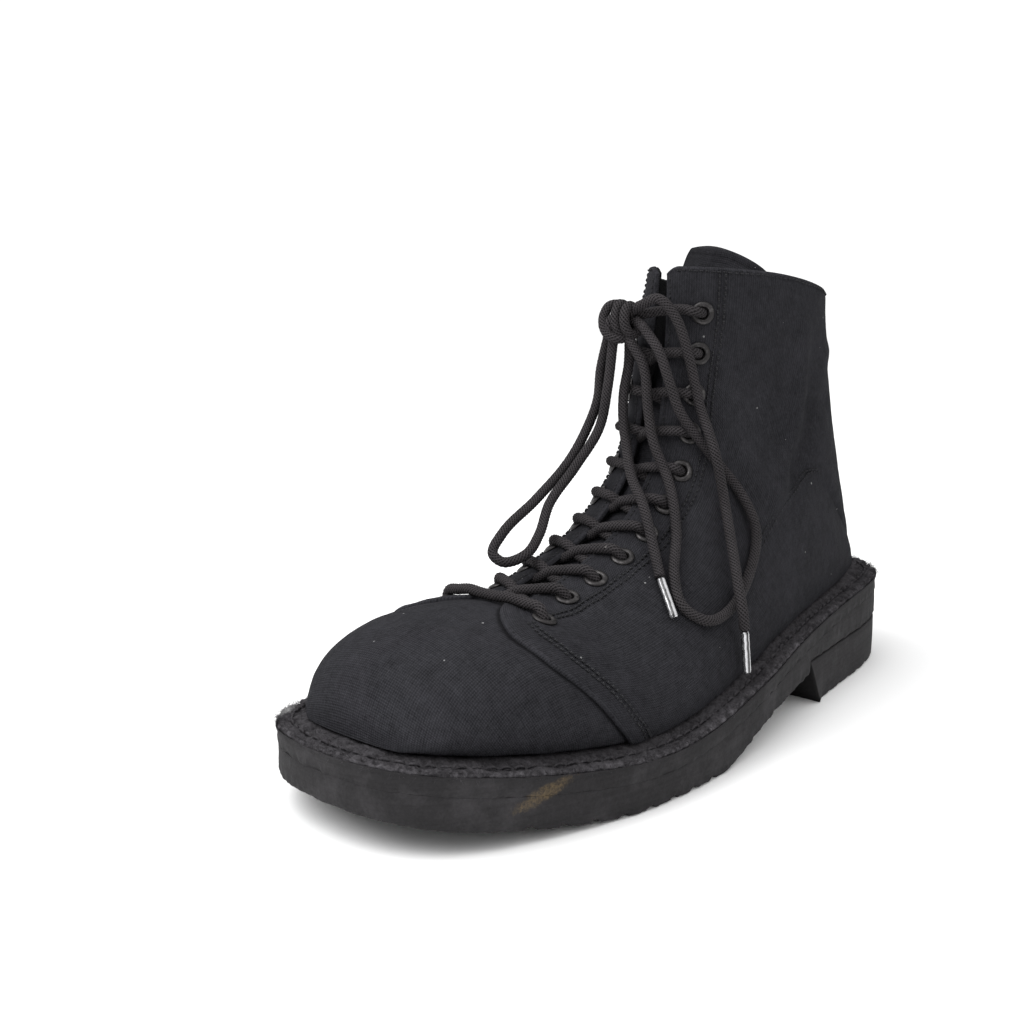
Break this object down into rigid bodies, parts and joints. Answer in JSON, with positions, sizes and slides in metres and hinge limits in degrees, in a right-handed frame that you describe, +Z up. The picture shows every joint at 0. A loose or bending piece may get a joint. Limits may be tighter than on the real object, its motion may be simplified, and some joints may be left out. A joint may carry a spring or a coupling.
{
  "type": "lace-up ankle boot",
  "caption": "Left lace-up ankle boot with a canvas upper, tongue, eyelets, tied lace, inner side zip, stitched welt and a thick rubber sole with a separate heel block",
  "frame": {"origin": "centre of the bounding box seen from above, on the floor under the sole", "axes": "+Z up, the toe points to -Y, the outer (lateral) side of the left foot is +X"},
  "size_m": [0.1155, 0.3004, 0.178],
  "materials": {
    "sole_rubber": "worn matte black rubber with fine streaks along its edge",
    "napped_welt": "dark napped strip with a stitch row and a fuzzy edge",
    "insole_foam": "black cloth over foam",
    "black_canvas": "matte black heavy canvas with a fine weave",
    "eyelet_enamel": "dark enamel with worn grey highlights",
    "lace_cord": "round braided black cord",
    "aglet_tip": "shiny clear film over the cord",
    "zip_tape": "woven black tape with a dark band of teeth",
    "dark_zip_metal": "dark worn metal"
  },
  "bodies": {
    "boot": {"outsole": "sole_rubber", "heel": "sole_rubber", "midsole": "sole_rubber", "welt": "napped_welt", "insole": "insole_foam", "upper": "black_canvas", "tongue": "black_canvas", "eyelet_lateral_01": "eyelet_enamel", "eyelet_lateral_02": "eyelet_enamel", "eyelet_lateral_03": "eyelet_enamel", "eyelet_lateral_04": "eyelet_enamel", "eyelet_lateral_05": "eyelet_enamel", "eyelet_lateral_06": "eyelet_enamel", "eyelet_lateral_07": "eyelet_enamel", "eyelet_lateral_08": "eyelet_enamel", "eyelet_lateral_09": "eyelet_enamel", "eyelet_lateral_10": "eyelet_enamel", "eyelet_lateral_11": "eyelet_enamel", "eyelet_medial_01": "eyelet_enamel", "eyelet_medial_02": "eyelet_enamel", "eyelet_medial_03": "eyelet_enamel", "eyelet_medial_04": "eyelet_enamel", "eyelet_medial_05": "eyelet_enamel", "eyelet_medial_06": "eyelet_enamel", "eyelet_medial_07": "eyelet_enamel", "eyelet_medial_08": "eyelet_enamel", "eyelet_medial_09": "eyelet_enamel", "eyelet_medial_10": "eyelet_enamel", "eyelet_medial_11": "eyelet_enamel", "lace_row_01": "lace_cord", "lace_row_02": "lace_cord", "lace_row_03": "lace_cord", "lace_row_04": "lace_cord", "lace_row_05": "lace_cord", "lace_row_06": "lace_cord", "lace_row_07": "lace_cord", "lace_row_08": "lace_cord", "lace_row_09": "lace_cord", "lace_row_10": "lace_cord", "lace_row_11": "lace_cord", "lace_knot": "lace_cord", "lace_loop_medial": "lace_cord", "lace_loop_lateral": "lace_cord", "lace_end_1": "lace_cord", "lace_end_2": "lace_cord", "aglet_1": "aglet_tip", "aglet_2": "aglet_tip", "zip_tape": "zip_tape", "zip_slider": "dark_zip_metal"},
    "zip_pull": {"zip_pull": "dark_zip_metal"}
  },
  "joints": [
    {"name": "zip_pull_hinge", "type": "hinge", "parent": "boot", "child": "zip_pull", "pos_m": [-0.03809, 0.06318, 0.14855], "axis": [0.0331, 0.9995, 0.0007], "range_deg": [0, 165]}
  ]
}
